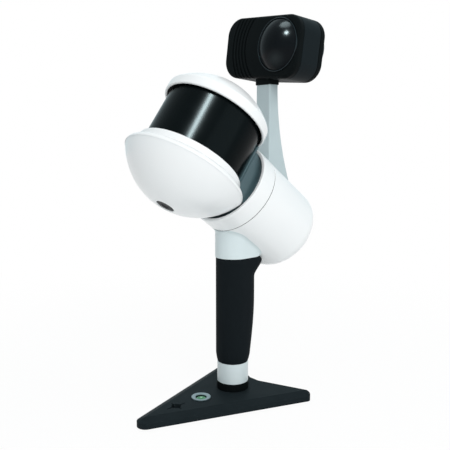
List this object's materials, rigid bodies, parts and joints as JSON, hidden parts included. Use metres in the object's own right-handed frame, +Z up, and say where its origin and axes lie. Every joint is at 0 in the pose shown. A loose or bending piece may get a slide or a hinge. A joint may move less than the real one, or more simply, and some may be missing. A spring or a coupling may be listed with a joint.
{
  "type": "handheld laser scanner",
  "caption": "Handheld laser scanner with a tilted motor housing that spins a lidar head, a panoramic camera on a mast, a grip and an arrow-shaped base plate with a sight hole.",
  "frame": {"origin": "on the handle axis, in the plane of the base plate's underside, at the mouth of the tripod thread", "axes": "+Z up along the handle, front (the plate's tip and the lidar head) towards -Y, +X towards the side the picture shows"},
  "size_m": [0.124, 0.204, 0.3754],
  "materials": {
    "slate_metal": "fine satin coat",
    "black_plastic": "satin",
    "grip_rubber": "matte",
    "white_plastic": "smooth semi-gloss",
    "pale_metal": "satin",
    "bracket_metal": "satin grey",
    "window_black": "polished",
    "gasket_rubber": "matte",
    "plug_plastic": "matte",
    "lens_glass": "polished dark dome",
    "lens_rim": "polished edge",
    "level_metal": "satin",
    "vial_green": "clear green",
    "steel": "plain",
    "tube_aluminium": "turned",
    "winding": "enamelled wire",
    "bush_brass": "turned",
    "board_green": "solder mask",
    "switch_grey": "moulded",
    "light_blue": "light pipe",
    "encoder_plate": "etched disc",
    "drum_glass": "filter glass"
  },
  "bodies": {
    "scanner_body": {"base_plate": "slate_metal", "plate_collar": "black_plastic", "mast_collar": "black_plastic", "camera_front_shell": "black_plastic", "camera_body": "black_plastic", "camera_rear_shell": "black_plastic", "slip_ring": "black_plastic", "grip_sleeve": "grip_rubber", "handle_ring": "white_plastic", "housing_shell": "white_plastic", "mast": "pale_metal", "cable_socket": "plug_plastic", "front_lens": "lens_glass", "rear_lens": "lens_glass", "front_lens_ring": "lens_rim", "rear_lens_ring": "lens_rim", "level_bezel": "level_metal", "level_vial": "vial_green", "base_stud": "steel", "plate_screws": "steel", "spindle_bearings": "steel", "board_screws": "steel", "mast_screws": "steel", "camera_board_screws": "steel", "camera_screw": "steel", "tube_plug": "tube_aluminium", "handle_tube": "tube_aluminium", "motor_plate": "tube_aluminium", "motor_stator": "winding", "control_board": "board_green", "camera_board": "board_green", "button_switch": "switch_grey", "status_light": "light_blue"},
    "scan_head": {"rotor_ring": "white_plastic", "spindle": "steel", "rotor_bell": "steel", "encoder_disc": "encoder_plate", "rotor_screws": "steel", "head_bracket": "bracket_metal", "bracket_screws": "steel", "lower_bowl": "white_plastic", "bowl_plug": "plug_plastic", "neck_ring": "white_plastic", "bowl_screws": "steel", "lidar_window": "window_black", "window_gasket": "gasket_rubber", "top_cap": "white_plastic", "lidar_base": "tube_aluminium", "lidar_pin": "steel", "lidar_board": "board_green", "lidar_board_screws": "steel"},
    "lidar_core": {"lidar_drum": "plug_plastic", "drum_bush": "bush_brass", "drum_lenses": "drum_glass"},
    "button": {"power_button": "plug_plastic"}
  },
  "joints": [
    {"name": "head_spin", "type": "hinge", "parent": "scanner_body", "child": "scan_head", "pos_m": [0, 0.0354, 0.1827], "axis": [0, -0.809, 0.5878], "continuous": true},
    {"name": "lidar_spin", "type": "hinge", "parent": "scan_head", "child": "lidar_core", "pos_m": [0, -0.04712, 0.24265], "axis": [0, 0.5878, 0.809], "continuous": true},
    {"name": "button_press", "type": "slide", "parent": "scanner_body", "child": "button", "axis": [0, -0.809, 0.5878], "range_m": [0, 0.001], "stiffness_N_per_m": 1500, "springref_m": -0.0006}
  ]
}
